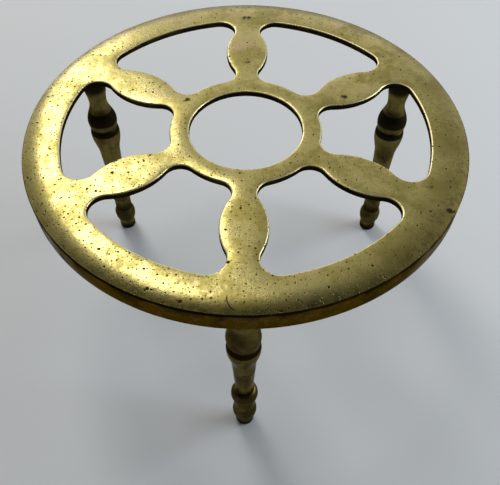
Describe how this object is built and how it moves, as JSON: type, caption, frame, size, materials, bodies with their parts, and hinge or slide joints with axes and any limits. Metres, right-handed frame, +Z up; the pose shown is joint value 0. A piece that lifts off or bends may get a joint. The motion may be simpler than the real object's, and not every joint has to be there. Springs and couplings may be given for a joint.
{
  "type": "trivet",
  "caption": "Round pierced brass trivet on turned legs: holds a hot pot or kettle above a table or a small burner.",
  "frame": {"origin": "on the floor, under the centre of the plate", "axes": "+Z up; one leg stands on -Y and the other two at 120 degrees each way from it"},
  "size_m": [0.14, 0.14, 0.0825],
  "materials": {
    "plate_brass": "old polished cast brass, worn soft, finely pitted, with light rubbing marks",
    "leg_brass": "turned brass gone dull brown and olive with age"
  },
  "bodies": {
    "root": {"top_plate": "plate_brass", "leg_front": "leg_brass", "leg_back_left": "leg_brass", "leg_back_right": "leg_brass"}
  },
  "joints": []
}
